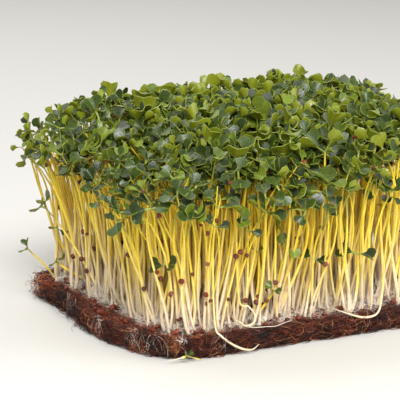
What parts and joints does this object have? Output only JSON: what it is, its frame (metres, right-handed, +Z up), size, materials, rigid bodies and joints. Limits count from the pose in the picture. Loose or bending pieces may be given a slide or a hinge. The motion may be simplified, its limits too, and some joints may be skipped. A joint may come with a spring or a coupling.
{
  "type": "pad of brassica microgreens on a coir growing mat",
  "caption": "Rectangular coir growing mat with a dense stand of upright pale stems, each carrying a pair of heart-shaped green seed leaves.",
  "frame": {"origin": "centre of the mat's flat underside", "axes": "+Z up along the stems, +X along the mat's long side"},
  "size_m": [0.1709, 0.1561, 0.0924],
  "materials": {
    "coir": "rough matted coconut fibre, dark red-brown",
    "stem": "moist waxy plant stem, yellow at the top and creamy white at the base",
    "leaf": "satin plant leaf, dark green with a paler rim",
    "seed_coat": "thin papery seed coat, red-brown",
    "root": "fine white root hairs"
  },
  "bodies": {
    "root": {"coir_mat": "coir", "stems_01": "stem", "leaves_01": "leaf", "stems_02": "stem", "leaves_02": "leaf", "stems_03": "stem", "leaves_03": "leaf", "stems_04": "stem", "leaves_04": "leaf", "stems_05": "stem", "leaves_05": "leaf", "stems_06": "stem", "leaves_06": "leaf", "stems_07": "stem", "leaves_07": "leaf", "stems_08": "stem", "leaves_08": "leaf", "stems_09": "stem", "leaves_09": "leaf", "stems_10": "stem", "leaves_10": "leaf", "stems_11": "stem", "leaves_11": "leaf", "stems_12": "stem", "leaves_12": "leaf", "stems_13": "stem", "leaves_13": "leaf", "stems_14": "stem", "leaves_14": "leaf", "stems_15": "stem", "leaves_15": "leaf", "stems_16": "stem", "leaves_16": "leaf", "stems_17": "stem", "leaves_17": "leaf", "stems_18": "stem", "leaves_18": "leaf", "stems_19": "stem", "leaves_19": "leaf", "stems_20": "stem", "leaves_20": "leaf", "stems_21": "stem", "leaves_21": "leaf", "stems_22": "stem", "leaves_22": "leaf", "stems_23": "stem", "leaves_23": "leaf", "stems_24": "stem", "leaves_24": "leaf", "stems_25": "stem", "leaves_25": "leaf", "stems_26": "stem", "leaves_26": "leaf", "stems_27": "stem", "leaves_27": "leaf"}
  },
  "joints": []
}
